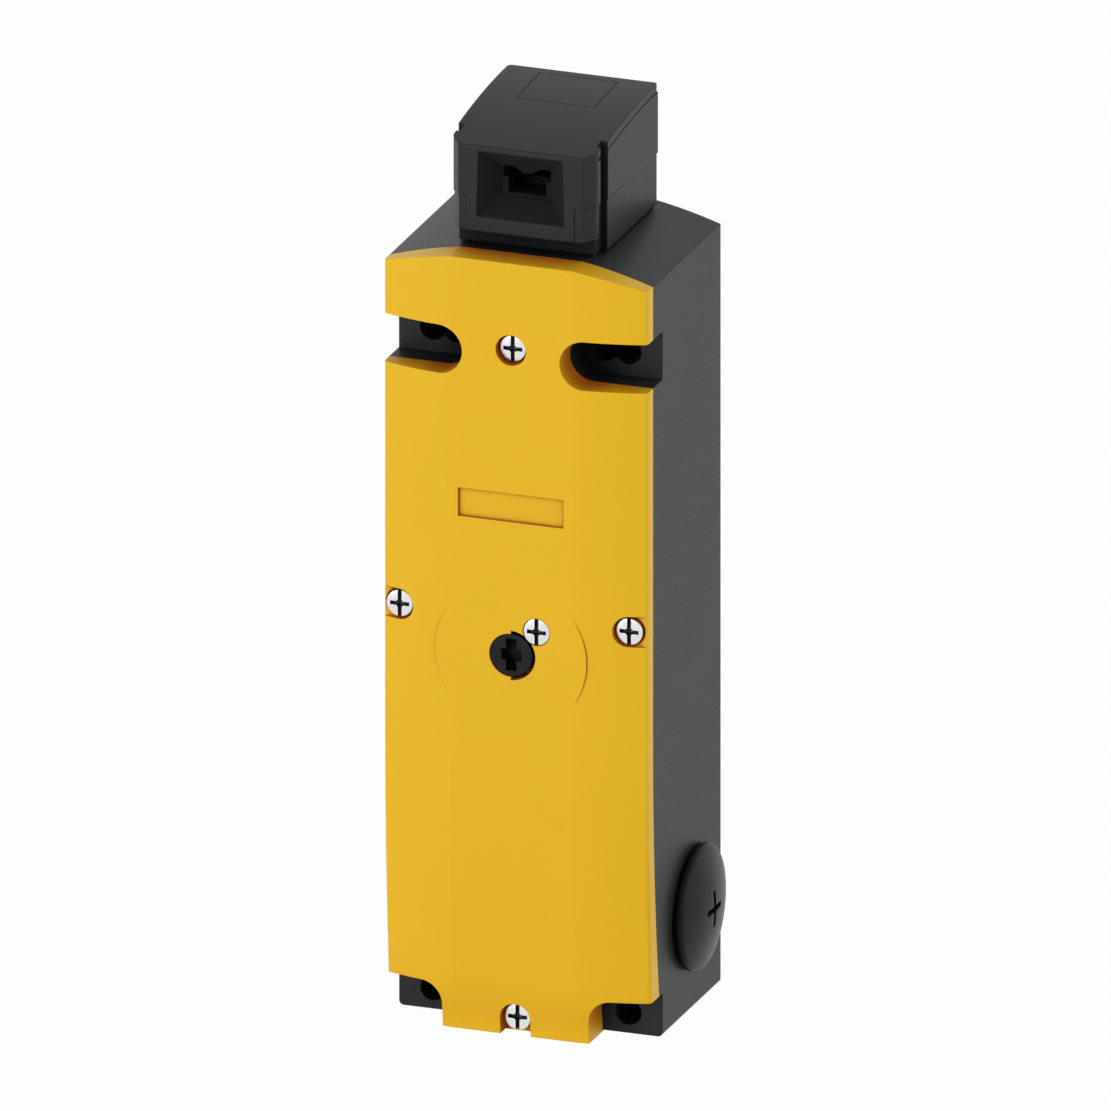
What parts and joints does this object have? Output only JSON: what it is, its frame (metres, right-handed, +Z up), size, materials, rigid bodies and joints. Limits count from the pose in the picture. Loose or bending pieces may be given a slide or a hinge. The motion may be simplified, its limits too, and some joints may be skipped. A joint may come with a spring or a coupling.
{
  "type": "tongue interlock switch",
  "caption": "Guard-locking safety switch with a turnable tongue head, a crowned screwed cover, an auxiliary release disc, side entry plugs and a solenoid lock inside.",
  "frame": {"origin": "below the middle of the bounding box, at the height of the housing's bottom end", "axes": "+Z up along the tall body to the head, +Y towards the mounting face at the back, +X to the right as seen from the front"},
  "size_m": [0.0628, 0.044, 0.184],
  "materials": {
    "housing_plastic": "fine-grained moulded thermoplastic",
    "cover_plastic": "smooth moulded thermoplastic",
    "head_plastic": "fine-grained moulded thermoplastic",
    "plug_plastic": "smooth dark plastic",
    "release_plastic": "smooth dark plastic",
    "inner_plastic": "plain moulded plastic",
    "seal_rubber": "soft rubber",
    "screw_steel": "bright plated steel",
    "zinc_steel": "zinc-plated steel",
    "cam_steel": "blackened sintered steel",
    "spring_steel": "drawn spring wire",
    "copper": "enamelled copper wire"
  },
  "bodies": {
    "housing": {"housing": "housing_plastic", "cover": "cover_plastic", "cover_gasket": "seal_rubber", "cover_screw_top": "screw_steel", "cover_screw_left": "screw_steel", "cover_screw_right": "screw_steel", "cover_screw_bottom": "screw_steel", "lock_screw": "screw_steel", "release_seal": "seal_rubber", "plug_right": "plug_plastic", "plug_left": "plug_plastic", "plug_seal_right": "seal_rubber", "plug_seal_left": "seal_rubber", "solenoid_yoke": "zinc_steel", "coil_bobbin": "inner_plastic", "coil_winding": "copper", "pole_piece": "zinc_steel", "armature_spring": "spring_steel", "contact_block_lower": "inner_plastic", "contact_block_upper": "inner_plastic", "terminal_block": "inner_plastic", "terminal_screws": "zinc_steel", "plunger_bush": "inner_plastic", "plunger_spring": "spring_steel", "head_ring": "spring_steel"},
    "head": {"head_body": "head_plastic", "head_hood": "head_plastic", "head_seal": "seal_rubber", "top_entry_cap": "head_plastic", "cam_axle": "zinc_steel"},
    "cam": {"cam_wheel": "cam_steel"},
    "plunger": {"plunger": "zinc_steel"},
    "armature": {"armature": "zinc_steel", "armature_collar": "inner_plastic"},
    "release": {"release_disc": "release_plastic", "release_clip": "spring_steel"}
  },
  "joints": [
    {"name": "head_turn", "type": "hinge", "parent": "housing", "child": "head", "pos_m": [0, 0.002, 0.1555], "axis": [0, 0, 1], "range_deg": [-90, 180]},
    {"name": "cam_turn", "type": "hinge", "parent": "head", "child": "cam", "pos_m": [0, 0.002, 0.168], "axis": [-1, 0, 0], "range_deg": [0, 50]},
    {"name": "plunger_slide", "type": "slide", "parent": "housing", "child": "plunger", "axis": [0, 0, 1], "range_m": [0, 0.004], "deforming": ["plunger_spring"]},
    {"name": "release_turn", "type": "hinge", "parent": "housing", "child": "release", "pos_m": [0, -0.01, 0.07875], "axis": [0, 1, 0], "range_deg": [0, 90]},
    {"name": "armature_slide", "type": "slide", "parent": "housing", "child": "armature", "axis": [0, 0, 1], "range_m": [-0.004, 0], "stiffness_N_per_m": 150, "springref_m": 0.02, "deforming": ["armature_spring"]}
  ],
  "couplings": [
    {"joint": "cam_turn", "follows": "plunger_slide", "rad_per_m": 218.16},
    {"joint": "release_turn", "follows": "armature_slide", "rad_per_m": -392.69}
  ]
}
